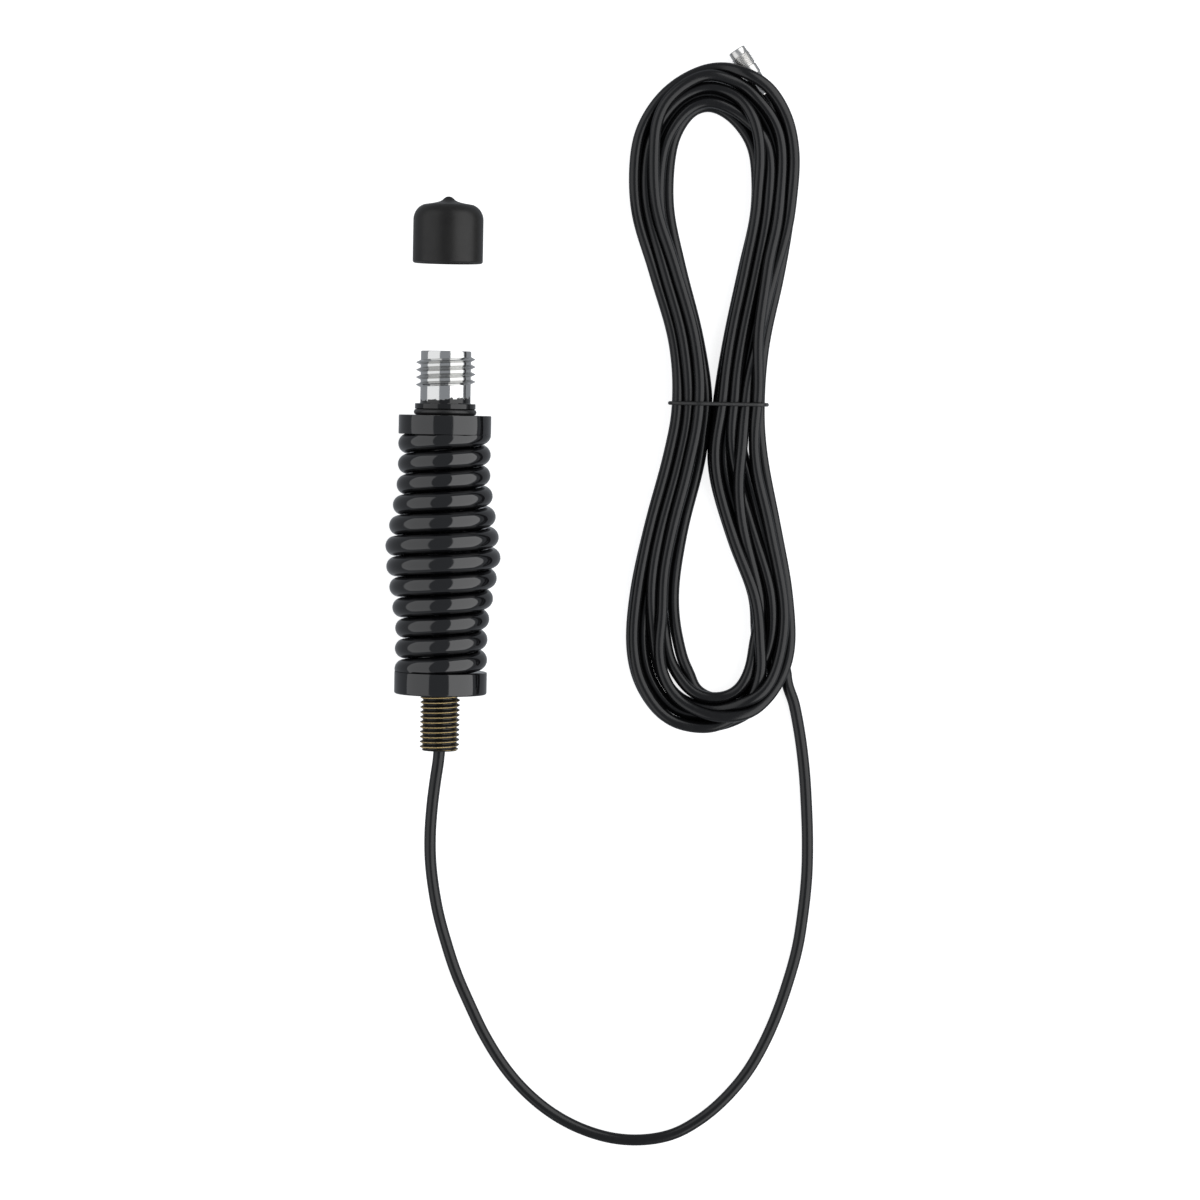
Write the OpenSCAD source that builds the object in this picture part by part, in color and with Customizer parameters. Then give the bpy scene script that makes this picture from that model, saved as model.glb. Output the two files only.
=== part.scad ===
// Spring base of an omnidirectional vehicle antenna, with its coaxial lead and end cap.
// It lies on its side on a flat surface. The antenna's axis runs along +Y, from the
// mounting stud to the whip thread, and +Z is up. The origin is the centre of the
// seating face, where the stud leaves the bottom collar. All sizes are in millimetres.

/* [Mounting stud] */
// Major diameter of the stud's thread
stud_d = 16; // [15:0.5:18]
// Pitch of the stud's thread
stud_pitch = 2; // [1:0.5:2]
// Length of the stud below the seating face
stud_length = 23; // [18:1:30]

/* [Spring] */
// Diameter of the spring's wire
wire_d = 8.1; // [7.5:0.1:8.2]
// Distance from one coil to the next
coil_pitch = 8.3; // [8.2:0.05:8.7]
// Number of whole coils
coil_turns = 12; // [10:1:13]
// Outer diameter of the spring at its two ends
spring_end_d = 37.5; // [37:0.5:40]
// How much wider the coils' radius is at the belly than at the ends
belly_growth = 4.94; // [3:0.01:7]

/* [Collars] */
// Height of the bottom collar's rim
bottom_collar_h = 9; // [7:0.5:12]
// Height of the top collar's rim
top_collar_h = 7.7; // [6:0.1:12]

/* [Ferrule] */
// Major diameter of the whip thread
whip_d = 24; // [23:0.5:25]
// Pitch of the whip thread
whip_pitch = 3; // [2.5:0.5:3.5]
// Diameter of the ferrule's neck and of the thread's root
neck_d = 20.3; // [19.5:0.1:21]
// Diameter of the socket in the ferrule's end
socket_d = 13; // [11:0.5:13.5]

/* [Cap] */
// Outer diameter of the protective cap
cap_d = 28.3; // [27.5:0.1:32]
// Gap between the ferrule's end and the rim of the cap held off it
cap_gap = 35.3; // [5:0.1:60]

/* [Lead] */
// Diameter of the coaxial lead
lead_d = 4.8; // [4.2:0.1:5]
// Diameter of the connector's thread
connector_d = 8; // [7.5:0.1:8]

/* [Hidden] */
$fn = 64;
cut = 0.1;                                   // how far a hole runs past the face it opens on

// ---- Spring ----
coil_steps_per_turn = 24;
wire_sides = 10;
coil_start = -210;                           // where the wire begins, degrees round from +Z to +X
coil_rings = coil_turns * coil_steps_per_turn + 1;
ground_off = 1.92;                           // how far the wire's centre ends past the ground face
ground_gap = 0.05;                           // between a ground face and its collar
belly_half_length = 30;
spring_bottom = bottom_collar_h;
spring_top = spring_bottom + coil_pitch * coil_rings / coil_steps_per_turn - 2 * ground_off;
spring_middle = (spring_bottom + spring_top) / 2;

function coil_y(ring) = spring_bottom - ground_off + coil_pitch * ring / coil_steps_per_turn;
function coil_turn(ring) = coil_start + 360 * ring / coil_steps_per_turn;
function coil_radius(y) =
    (spring_end_d - wire_d) / 2
    + belly_growth * max(0, 1 - abs(y - spring_middle) / belly_half_length);

// The surface that everything lies on touches the belly's lowest coil
floor_z = -max([
    for (ring = [0 : coil_rings]) if (abs(cos(coil_turn(ring)) + 1) < 0.001)
        coil_radius(coil_y(ring)) + wire_d / 2
]);

// ---- Stations along the axis ----
spigot_reach = 9;                            // how far each collar's spigot enters the spring
spigot_r = 10.3;
collar_top = spring_top + top_collar_h;
seat_relief_h = 0.5;                         // recess round the stud, so a plate lies flat
o_ring_section = 2.5;
flange_y = collar_top + o_ring_section;
flange_h = 2.2;
neck_h = 7.2;
whip_turns = 4;
ridge_crest = 0.15;
ridge_flank = 0.9;
thread_start = flange_y + flange_h + neck_h;
tip_y = thread_start + whip_turns * whip_pitch + 2;
socket_floor = tip_y - 14.8;
cup_y = collar_top - 9;                      // lower face of the insulator
jacket_end = cup_y - 11;                     // where the lead's jacket is stripped back
crimp_flange_h = 2;
crimp_flange_y = cup_y - 3;

// ---- Radii inside ----
stud_spigot_r = 7;
seat_relief_r = stud_d / 2 + 0.8;
stud_spigot_h = 12;
stud_bore_r = 2.9;
seal_r = 4.5;
seal_h = 8;
ferrule_spigot_r = 8.5;
insulator_r = 7;
contact_r = 1.5;
contact_bore_r = 0.8;
contact_bore_depth = 6;
solder_cup_depth = 2.5;
dielectric_r = 1.475;
braid_r = 1.85;
crimp_wall = 0.75;
conductor_r = 0.45;
strip_gap = 0.1;                             // between the jacket's end and the crimp
lead_fit = 0.05;                             // between the lead and what goes round it

// ---- Lead ----
lead_sides = 10;
lead_z = floor_z + lead_d / 2;
// Route of the lead's free stretch: x, y, and the share of the fall from the axis to the surface
lead_route = [
    [0, -23, 0], [-0.4, -28, 0], [-1.5, -36, 0.03], [-2.6, -46, 0.1], [-3.3, -57, 0.23],
    [-3.2, -68, 0.39], [-2.1, -79, 0.57], [0, -91, 0.75], [3.2, -103, 0.89], [7.5, -116, 0.97],
    [13, -128.5, 1], [20, -142.5, 1], [28.5, -155.5, 1], [38, -166, 1], [49, -174.5, 1],
    [61, -180.5, 1], [74, -184, 1], [87, -184.3, 1], [99, -181.5, 1], [110, -175, 1],
    [119.5, -166.5, 1], [128, -156, 1], [134.5, -144.5, 1], [140, -131.5, 1], [144.5, -117.5, 1],
    [148, -103.5, 1], [150, -89, 1], [151.2, -74, 1], [151.2, -59, 1], [150.4, -44, 1],
    [149.2, -30, 1], [147.2, -16, 1], [144.5, -3, 1], [141, 9, 1]
];
function lead_point(p) = [p.x, p.y - lead_route[0].y - stud_length, p.z * lead_z];

// ---- Hank ----
hank_top = [107, 224];                       // centre of the upper bight's arc
hank_waist = [110.3, 120.5];
hank_bottom = [109.4, 21.5];                 // centre of the lower bight's arc
hank_bight_r = 34.8;
hank_waist_half = 18.4;
hank_arm = 17.8;                             // width of one arm
hank_h = 2 * lead_d;
hank_bulge = 0.9;                            // under 1, the arms leave the waist sooner
hank_steps = 10;
eye_tip = 0.15;                              // share of the way from the waist to a bight's centre
tie_d = 1.6;
tie_half_length = 19.3;
tie_y = hank_waist.y - 1;

// ---- Connector ----
connector_tip = [115.2, 263.5];
connector_angle = 34;
connector_z = floor_z + connector_d / 2 + 0.1;
connector_nose = 2.7;
connector_thread = 5.25;
connector_pitch = 0.75;
connector_land = 0.1;                        // the last crest's width
connector_shell_length = 12.5;
connector_bore_r = connector_d / 2 - 1.5;
pin_r = 0.75;
pin_bore_r = 0.4;
pin_bore_depth = 5;
crimp_length = 9;
crimp_r = connector_d / 2 - 0.6;
nut_room = connector_d / 2 + 2;
nut_room_length = 9.5;

// ================= Shapes that repeat =================

// Lays a shape drawn upwards from z = 0 along +Y, starting at station y
module along(y = 0) translate([0, y, 0]) rotate([-90, 0, 0]) children();

// Rod or tube from one station to another
module sleeve(from, to, outer_r, inner_r = 0) {
    along(from) difference() {
        cylinder(h = to - from, r = outer_r);
        if (inner_r > 0) translate([0, 0, -cut]) cylinder(h = to - from + 2 * cut, r = inner_r);
    }
}

// Outline of a row of thread grooves, from the first crest's lower edge, going up:
// ridges at the crest radius, with a flat root between them
function groove_points(start, pitch, turns, crest_r, root_r, crest, root) = [
    for (i = [0 : turns - 1], k = [0 : 3])
        let (y = start + i * pitch, flank = (pitch - crest - root) / 2)
        [k == 0 || k == 3 ? crest_r : root_r, y + [crest, crest + flank, pitch - flank, pitch][k]]
];

// Closed tube through a list of rings that all have the same number of points
module skin(rings) {
    sides = len(rings[0]);
    last = len(rings) - 1;
    polyhedron(
        points = [for (ring = rings) each ring],
        faces = concat(
            [[for (j = [0 : sides - 1]) j]],
            [[for (j = [sides - 1 : -1 : 0]) last * sides + j]],
            [
                for (i = [0 : last - 1], j = [0 : sides - 1], half = [0, 1])
                    let (a = i * sides + j, b = i * sides + (j + 1) % sides)
                    half == 0 ? [a, a + sides, b + sides] : [a, b + sides, b]
            ]
        ),
        convexity = 10
    );
}

// ================= Antenna =================

module bottom_collar() color([0.05, 0.05, 0.055]) {
    r = spring_end_d / 2;
    edge = 0.8;
    difference() {
        union() {
            along() rotate_extrude() polygon(concat(
                [[0, 0]],
                [for (a = [-90 : 15 : 0]) [r - edge + edge * cos(a), edge + edge * sin(a)]],
                [[r, bottom_collar_h - 0.3], [r - 0.3, bottom_collar_h], [0, bottom_collar_h]]
            ));
            sleeve(bottom_collar_h - cut, bottom_collar_h + spigot_reach, spigot_r);
        }
        sleeve(-cut, bottom_collar_h + spigot_reach + cut, stud_spigot_r);
        sleeve(-cut, seat_relief_h, seat_relief_r);
    }
}

module mounting_stud() color([0.2, 0.17, 0.12]) {
    r = stud_d / 2;
    depth = 0.54 * stud_pitch;
    chamfer = 0.7;
    crest = stud_pitch / 8;
    turns = floor((stud_length - chamfer - crest) / stud_pitch);
    first_crest = stud_length - crest - turns * stud_pitch;
    difference() {
        union() {
            along(-stud_length) rotate_extrude() polygon(concat(
                [[0, 0], [r - chamfer, 0], [r, chamfer]],
                groove_points(
                    first_crest, stud_pitch, turns, r, r - depth, crest, stud_pitch / 4
                ),
                [[r, stud_length], [0, stud_length]]
            ));
            sleeve(-cut, seat_relief_h, r - 0.4);
            sleeve(0, stud_spigot_h, stud_spigot_r);
        }
        sleeve(-stud_length - cut, stud_spigot_h + cut, stud_bore_r);
        sleeve(-stud_length - cut, -stud_length + seal_h, seal_r);
    }
}

module cable_seal() color([0.03, 0.03, 0.03])
    sleeve(-stud_length, -stud_length + seal_h, seal_r, lead_d / 2 + lead_fit);

// A ring of the wire. Where the wire ends, the grinding cuts it to a flat face: the points
// on that side are spread along the cut's chord, and the others over the arc that is left.
function wire_ring(ring) =
    let (
        r = wire_d / 2,
        y = coil_y(ring),
        turn = coil_turn(ring),
        side = ring < coil_rings / 2 ? 1 : -1,
        face = side > 0 ? spring_bottom + ground_gap - y : y - spring_top + ground_gap,
        edge = asin(max(0, face / r))
    )
    [
        for (j = [0 : wire_sides - 1])
            let (
                a = (side * j * 360 / wire_sides + 360) % 360,
                arc = edge + a * (180 - 2 * edge) / 180,
                out = a > 180 ? r * cos(edge) * cos(a) : r * cos(arc),
                up = a > 180 ? max(face, r * sin(a)) : r * sin(arc),
                rho = coil_radius(y) + out
            )
            [rho * sin(turn), y + side * up, rho * cos(turn)]
    ];

module barrel_spring() color([0.04, 0.04, 0.045])
    skin([for (ring = [0 : coil_rings]) wire_ring(ring)]);

module top_collar() color([0.05, 0.05, 0.055]) {
    r = spring_end_d / 2 - 0.05;
    edge = 0.3;
    difference() {
        union() {
            along(spring_top) rotate_extrude() polygon([
                [0, 0], [r - edge, 0], [r, edge],
                [r, top_collar_h - edge], [r - edge, top_collar_h], [0, top_collar_h]
            ]);
            sleeve(spring_top - spigot_reach, spring_top + cut, spigot_r);
        }
        sleeve(spring_top - spigot_reach - cut, collar_top + cut, ferrule_spigot_r);
    }
}

module o_ring() color([0.03, 0.03, 0.03])
    along(collar_top + o_ring_section / 2) rotate_extrude()
        translate([neck_d / 2 + o_ring_section / 2, 0]) circle(d = o_ring_section, $fn = 32);

module ferrule() color([0.78, 0.78, 0.76]) {
    neck_r = neck_d / 2;
    root = 1.05;
    flange_r = whip_d / 2 + 0.25;
    edge = 0.2;
    bottom = crimp_flange_y - 0.8;
    first_crest = thread_start + ridge_flank;
    last_crest = first_crest + (whip_turns - 1) * whip_pitch;
    difference() {
        along() rotate_extrude() polygon(concat(
            [
                [0, bottom], [ferrule_spigot_r, bottom], [ferrule_spigot_r, collar_top],
                [neck_r, collar_top], [neck_r, flange_y], [flange_r - edge, flange_y],
                [flange_r, flange_y + edge], [flange_r, flange_y + flange_h - edge],
                [flange_r - edge, flange_y + flange_h], [neck_r, flange_y + flange_h],
                [neck_r, thread_start], [whip_d / 2, first_crest]
            ],
            groove_points(
                first_crest, whip_pitch, whip_turns - 1, whip_d / 2, neck_r, ridge_crest, root
            ),
            [
                [whip_d / 2, last_crest + ridge_crest],
                [neck_r, last_crest + ridge_crest + ridge_flank],
                [neck_r, tip_y - 0.3], [neck_r - 0.3, tip_y], [0, tip_y]
            ]
        ));
        sleeve(bottom - cut, socket_floor, insulator_r);
        sleeve(bottom - cut, tip_y + cut, socket_d / 2);
    }
}

module insulator() color([0.88, 0.87, 0.82])
    sleeve(cup_y, socket_floor, insulator_r, contact_r);

module centre_contact() color([0.8, 0.62, 0.3])
    difference() {
        sleeve(cup_y + 0.5, socket_floor, contact_r);
        sleeve(cup_y, cup_y + 0.5 + solder_cup_depth, conductor_r + 0.05);
        sleeve(socket_floor - contact_bore_depth, socket_floor + cut, contact_bore_r);
    }

module braid_crimp() color([0.7, 0.7, 0.7])
    difference() {
        union() {
            sleeve(jacket_end, crimp_flange_y + cut, braid_r + crimp_wall);
            sleeve(crimp_flange_y, crimp_flange_y + crimp_flange_h, insulator_r);
        }
        sleeve(jacket_end - cut, crimp_flange_y, braid_r);
        sleeve(crimp_flange_y - cut, cup_y, dielectric_r);
    }

module coax_braid() color([0.72, 0.5, 0.36])
    sleeve(jacket_end, crimp_flange_y, braid_r, dielectric_r);

module coax_dielectric() color([0.9, 0.9, 0.88])
    sleeve(jacket_end, cup_y - 0.5, dielectric_r, conductor_r);

module coax_conductor() color([0.8, 0.45, 0.3])
    sleeve(jacket_end, cup_y + solder_cup_depth, conductor_r);

module inner_coax() color([0.03, 0.03, 0.03])
    sleeve(-stud_length, jacket_end - strip_gap, lead_d / 2);

module protective_cap() color([0.13, 0.13, 0.13]) {
    r = cap_d / 2;
    height = 26.9;
    rim = 1;
    shoulder = 6;
    shoulder_rise = 6.5;
    skirt_h = 17.4;
    nub = [[2.7, height - 1.6], [1.7, height - 0.6], [0.8, height - 0.1], [0, height]];
    inner_r = whip_d / 2 + 0.4;
    inner_skirt_h = 19;
    ceiling_h = 23.5;
    along(tip_y + cap_gap) difference() {
        rotate_extrude() polygon(concat(
            [[0, 0]],
            [for (a = [-90 : 15 : 0]) [r - rim + rim * cos(a), rim + rim * sin(a)]],
            [for (a = [0 : 7.5 : 75])
                [r - shoulder + shoulder * cos(a), skirt_h + shoulder_rise * sin(a)]],
            nub
        ));
        rotate_extrude() polygon([
            [0, -cut], [inner_r, -cut], [inner_r, inner_skirt_h],
            [inner_r - 3, ceiling_h - 0.9], [4, ceiling_h], [0, ceiling_h]
        ]);
    }
}

// ================= Lead, hank and connector =================

function unit(v) = v / norm(v);

// A ring square to the route at one of its points
function lead_ring(points, i) =
    let (
        before = points[max(0, i - 1)],
        after = points[min(len(points) - 1, i + 1)],
        ahead = unit(after - before),
        side = unit(cross(ahead, [0, 0, 1])),
        up = cross(side, ahead)
    )
    [
        for (j = [0 : lead_sides - 1])
            let (a = 360 * j / lead_sides)
            points[i] + lead_d / 2 * (cos(a) * side + sin(a) * up)
    ];

module coax_lead() color([0.03, 0.03, 0.03]) {
    points = [for (p = lead_route) lead_point(p)];
    skin([for (i = [0 : len(points) - 1]) lead_ring(points, i)]);
}

// Half the hank's width, a share of the way from the waist to a bight's centre
function hank_half(share) =
    hank_waist_half
    + (hank_bight_r - hank_waist_half) * (1 - cos(180 * pow(share, hank_bulge))) / 2;

// One side of an arm from the waist to a bight, at the right for side = 1
function hank_side(bight, side, inset, from) = [
    for (i = [0 : hank_steps - 1])
        let (share = from + (1 - from) * i / hank_steps, ease = share * share * (3 - 2 * share))
        [
            hank_waist.x + (bight.x - hank_waist.x) * ease + side * (hank_half(share) - inset),
            hank_waist.y + (bight.y - hank_waist.y) * share
        ]
];

function reversed(list) = [for (i = [len(list) - 1 : -1 : 0]) list[i]];

// Half of the hank's outline, or one eye where inset is the arm's width
function hank_lobe(bight, inset, from) =
    let (turn = bight.y > hank_waist.y ? 1 : -1)
    concat(
        hank_side(bight, 1, inset, from),
        [
            for (a = [0 : 11.25 : 180])
                bight + (hank_bight_r - inset) * [cos(a), turn * sin(a)]
        ],
        reversed(hank_side(bight, -1, inset, from))
    );

module coax_hank() color([0.03, 0.03, 0.03])
    difference() {
        translate([0, 0, floor_z]) linear_extrude(hank_h) difference() {
            polygon(concat(hank_lobe(hank_top, 0, 0), reversed(hank_lobe(hank_bottom, 0, 0.1))));
            polygon(hank_lobe(hank_top, hank_arm, eye_tip));
            polygon(hank_lobe(hank_bottom, hank_arm, eye_tip));
        }
        // Room for a nut on the connector's thread
        at_connector() translate([-nut_room, -nut_room_length, -nut_room])
            cube([2 * nut_room, 2 * nut_room_length, 2 * nut_room]);
    }

// A round cord tied round the waist, a loop with straight runs over and under the strands
module hank_tie() color([0.03, 0.03, 0.03]) {
    bend_r = (hank_h + tie_d) / 2;
    half_run = tie_half_length - tie_d / 2 - bend_r;
    translate([hank_waist.x, tie_y, floor_z + tie_d / 2 + bend_r]) {
        for (side = [-1, 1]) {
            translate([-half_run, 0, side * bend_r]) rotate([0, 90, 0])
                cylinder(h = 2 * half_run, d = tie_d, $fn = 32);
            translate([side * half_run, 0, 0]) rotate([90, 0, 0]) rotate([0, 0, -90 * side])
                rotate_extrude(angle = 180) translate([bend_r, 0]) circle(d = tie_d, $fn = 32);
        }
    }
}

// Puts a shape drawn along Y on the connector's axis, with its open end at y = 0
module at_connector()
    translate([connector_tip.x, connector_tip.y, connector_z]) rotate([0, 0, connector_angle])
        children();

module connector_shell() color([0.74, 0.72, 0.68]) {
    r = connector_d / 2;
    body_r = r - 0.3;
    relief_r = r - 0.7;
    nose_r = r - 0.45;
    edge = 0.3;
    depth = 0.54 * connector_pitch;
    turns = connector_thread / connector_pitch;
    thread_top = connector_shell_length - connector_nose;
    thread_base = thread_top - connector_thread;
    at_connector() difference() {
        along(-connector_shell_length) rotate_extrude() polygon(concat(
            [[0, 0], [body_r - edge, 0], [body_r, edge], [body_r, thread_base - 2 * edge]],
            [[relief_r, thread_base - edge], [relief_r, thread_base], [r, thread_base]],
            groove_points(
                thread_base, connector_pitch, turns, r, r - depth,
                connector_pitch / 8, connector_pitch / 4
            ),
            [[r, thread_top + connector_land], [nose_r, thread_top + edge]],
            [[nose_r, connector_shell_length - edge]],
            [[nose_r - edge, connector_shell_length], [0, connector_shell_length]]
        ));
        sleeve(-connector_shell_length - cut, cut, connector_bore_r);
    }
}

module connector_insulator() color([0.9, 0.9, 0.86])
    at_connector() sleeve(-connector_shell_length + 1, -2, connector_bore_r, pin_r);

module connector_contact() color([0.83, 0.65, 0.3])
    at_connector() difference() {
        sleeve(-connector_shell_length + 0.5, -0.6, pin_r);
        sleeve(-pin_bore_depth, 0, pin_bore_r);
    }

module connector_crimp() color([0.72, 0.71, 0.69]) {
    back = -connector_shell_length - crimp_length;
    at_connector() difference() {
        sleeve(back, -connector_shell_length, crimp_r);
        sleeve(back - cut, -connector_shell_length + cut, lead_d / 2 + lead_fit);
    }
}

bottom_collar();
mounting_stud();
cable_seal();
barrel_spring();
top_collar();
o_ring();
ferrule();
insulator();
centre_contact();
braid_crimp();
coax_braid();
coax_dielectric();
coax_conductor();
protective_cap();
inner_coax();
coax_lead();
coax_hank();
hank_tie();
connector_shell();
connector_insulator();
connector_contact();
connector_crimp();
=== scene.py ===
"""Looks of the antenna's spring base, lead and cap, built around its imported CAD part.

Shapes are worked out in millimetres and stored in metres. The antenna's axis is +Y, and +Z is up.
Turns round the axis are counted from +Z towards +X.
"""

import math

import bmesh
import bpy
import numpy as np
from mathutils import Matrix, Vector


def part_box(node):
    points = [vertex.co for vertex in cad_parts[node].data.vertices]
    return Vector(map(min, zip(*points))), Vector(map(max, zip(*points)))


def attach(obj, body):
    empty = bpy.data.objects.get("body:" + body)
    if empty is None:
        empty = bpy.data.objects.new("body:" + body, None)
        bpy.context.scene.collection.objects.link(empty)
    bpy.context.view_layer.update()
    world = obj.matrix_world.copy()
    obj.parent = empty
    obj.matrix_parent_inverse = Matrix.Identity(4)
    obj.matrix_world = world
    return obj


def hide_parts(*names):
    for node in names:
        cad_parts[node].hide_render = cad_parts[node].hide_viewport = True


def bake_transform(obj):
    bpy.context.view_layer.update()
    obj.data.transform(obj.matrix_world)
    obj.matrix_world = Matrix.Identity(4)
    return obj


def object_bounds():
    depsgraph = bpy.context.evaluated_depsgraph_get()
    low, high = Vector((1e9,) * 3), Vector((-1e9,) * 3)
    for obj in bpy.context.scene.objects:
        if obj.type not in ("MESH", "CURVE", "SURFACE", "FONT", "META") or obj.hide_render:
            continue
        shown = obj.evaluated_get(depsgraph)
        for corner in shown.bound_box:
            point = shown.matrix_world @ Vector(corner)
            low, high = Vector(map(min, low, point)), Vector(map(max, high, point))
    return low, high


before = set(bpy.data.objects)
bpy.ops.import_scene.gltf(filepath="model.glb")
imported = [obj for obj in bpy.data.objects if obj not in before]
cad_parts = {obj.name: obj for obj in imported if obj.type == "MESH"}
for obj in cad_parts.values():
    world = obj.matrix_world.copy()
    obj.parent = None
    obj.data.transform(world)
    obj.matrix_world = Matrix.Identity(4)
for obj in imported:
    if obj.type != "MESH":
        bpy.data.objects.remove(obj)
CAD_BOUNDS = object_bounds()
MM = 0.001


def low_y(node):
    """Lowest Y of a CAD node, in millimetres."""
    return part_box(node)[0].y / MM


def high_y(node):
    """Highest Y of a CAD node, in millimetres."""
    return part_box(node)[1].y / MM


# ---- Stations along the axis, read from the CAD part ----
FLOOR_Z = CAD_BOUNDS[0].z / MM
STUD_END = low_y("mounting_stud")
STUD_TOP = high_y("mounting_stud")
SEAT_GAP = 0.05  # left in the CAD part between the spring's ground ends and the collars
SPRING_BOTTOM = low_y("barrel_spring") - SEAT_GAP
SPRING_TOP = high_y("barrel_spring") + SEAT_GAP
SPRING_MIDDLE = (SPRING_BOTTOM + SPRING_TOP) / 2
COLLAR_TOP = high_y("top_collar")
FLANGE_Y = high_y("o_ring")
TIP_Y = high_y("ferrule")
CAP_RIM = low_y("protective_cap")
INNER_COAX_END = high_y("inner_coax")

# ---- Driving dimensions, in millimetres ----
COLLAR_R = 18.75
SEAT_RELIEF_R = 8.8
SEAT_RELIEF = 0.5
SPIGOT_R = 10.3
SPIGOT_REACH = 9
STUD_R = 8
STUD_PITCH = 2
STUD_BORE_R = 2.9
STUD_SPIGOT_R = 7
SEAL_R = 4.5
SEAL_H = 8
WIRE_R = 4.05
COIL_PITCH = 8.3
COIL_START = -210  # degrees
STEPS_A_TURN = 24
COIL_TURNS = 289 / STEPS_A_TURN
GROUND_OFF = 1.92
BELLY_GROWTH = 4.94
BELLY_HALF_LENGTH = 30
FLANGE_R = 12.25
FLANGE_H = 2.2
NECK_R = 10.15
WHIP_R = 12
WHIP_PITCH = 3
FERRULE_SPIGOT_R = 8.5
INSULATOR_R = 7
SOCKET_R = 6.5
SOCKET_DEPTH = 14.8
CAP_R = 14.15
CAP_INNER_R = 12.4
CAP_H = 26.9
CAP_ROOF = 23.5
LEAD_R = 2.4
LEAD_FIT = 0.05
LEAD_Z = FLOOR_Z + LEAD_R

# ---- Threads, in shares of the pitch ----
THREAD_DEPTH = 0.54
THREAD_CREST = 0.14
THREAD_FLANK = 0.32
WHIP_CREST = 0.05
WHIP_FLANK = 0.3
# The whip thread's run-in and run-out, in turns along its crest
WHIP_RUN_IN = (-3.55, -3.3)
WHIP_RUN_OUT = (0.22, 0.4)

# ---- Stretches in y across each hinge, given with each half but not used to bend it ----
LOWER_BEND = (12, 56)
COIL_UPPER_BEND = (58, 98)  # ends below the top collar's spigot, where the coil is held
COAX_UPPER_BEND = (58, 90)

# ---- Connector ----
CONNECTOR_TIP = np.array([115.2, 263.5, FLOOR_Z + 4.1])
CONNECTOR_ANGLE = math.radians(34)
CONNECTOR_R = 4
CONNECTOR_PITCH = 0.75
CONNECTOR_NOSE = 2.7
CONNECTOR_THREAD = 5.25
CONNECTOR_SHELL = 12.5
CONNECTOR_BORE_R = 2.5
CRIMP_LENGTH = 9
CRIMP_R = 3.4
CONNECTOR_AXIS = np.array([-math.sin(CONNECTOR_ANGLE), math.cos(CONNECTOR_ANGLE), 0])
CONNECTOR_REACH = CONNECTOR_SHELL + CRIMP_LENGTH

# ---- Route of the lead's free stretch: x, y and the share of the fall from the axis to the floor ----
LEAD_ROUTE = [
    (0, -23, 0), (-0.4, -28, 0), (-1.5, -36, 0.03), (-2.6, -46, 0.1), (-3.3, -57, 0.23),
    (-3.2, -68, 0.39), (-2.1, -79, 0.57), (0, -91, 0.75), (3.2, -103, 0.89), (7.5, -116, 0.97),
    (13, -128.5, 1), (20, -142.5, 1), (28.5, -155.5, 1), (38, -166, 1), (49, -174.5, 1),
    (61, -180.5, 1), (74, -184, 1), (87, -184.3, 1), (99, -181.5, 1), (110, -175, 1),
    (119.5, -166.5, 1), (128, -156, 1), (134.5, -144.5, 1), (140, -131.5, 1), (144.5, -117.5, 1),
    (148, -103.5, 1), (150, -89, 1), (151.2, -74, 1), (151.2, -59, 1), (150.4, -44, 1),
    (149.2, -30, 1), (147.2, -16, 1), (144.5, -3, 1), (141, 9, 1),
]

# ---- Hank ----
# Its outline as x and y of the outer edge and the width there, anticlockwise: up the right arm,
# round the top bight, down the left arm and round the bottom bight
HANK_OUTLINE = np.array([
    (144.3, 19.5, 19.4), (143.0, 43.2, 18.4), (137.6, 70.5, 23.0), (131.8, 97.8, 25.2),
    (129.9, 119.1, 21.6), (131.5, 144.3, 19.4), (136.8, 171.6, 19.4), (140.6, 197.9, 18.3),
    (141.9, 224.2, 20.6), (137.1, 241.1, 22.8), (125.0, 254.0, 23.0), (107.8, 258.4, 20.6),
    (92.1, 252.6, 17.2), (80.2, 241.0, 17.7), (73.2, 224.2, 18.7), (73.4, 197.9, 17.8),
    (81.5, 171.6, 15.5), (89.9, 144.3, 14.6), (91.8, 119.1, 16.7), (88.5, 97.8, 17.6),
    (81.7, 70.5, 18.1), (76.3, 43.2, 20.2), (75.0, 19.5, 24.0), (79.7, 1.8, 24.5),
    (91.9, -12.2, 23.2), (110.3, -15.3, 17.2), (126.9, -9.2, 15.2), (138.6, 2.8, 17.4),
])
# Rows of the outline that have a lane: three along the right arm, three round the top bight,
# three down the left arm and three round the bottom bight
LANE_ROWS = (0, 4, 8, 9.5, 11, 12.5, 14, 18, 22, 23.5, 25, 26.5)
# Each turn's lanes at those rows, from the first wound: 0 at the outer edge, 1 at the inner edge
TURN_LANES = [
    (0.36, 0.50, 0.36, 0.48, 0.56, 0.40, 0.16, 0.12, 0.09, 0.06, 0.03, 0.30),
    (0.60, 0.86, 0.90, 0.93, 0.90, 0.85, 0.62, 0.42, 0.24, 0.11, 0.07, 0.40),
    (0.78, 1.00, 1.00, 0.99, 0.97, 0.98, 1.00, 1.00, 1.00, 1.00, 0.93, 0.70),
    (0.55, 0.70, 0.70, 0.82, 0.93, 0.95, 0.84, 0.76, 0.70, 0.82, 0.96, 1.00),
    (1.00, 0.42, 0.10, 0.03, 0.00, 0.00, 0.00, 0.00, 0.00, 0.00, 0.00, 0.50),
    (0.85, 0.96, 0.80, 0.66, 0.44, 0.32, 0.28, 0.32, 0.38, 0.44, 0.50, 0.34),
    (0.16, 0.22, 0.24, 0.20, 0.00, 0.15, 0.48, 0.56, 0.46, 0.48, 0.53, 0.10),
]
FIRST_ROW = 0.6  # where the free stretch joins the first turn
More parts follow.
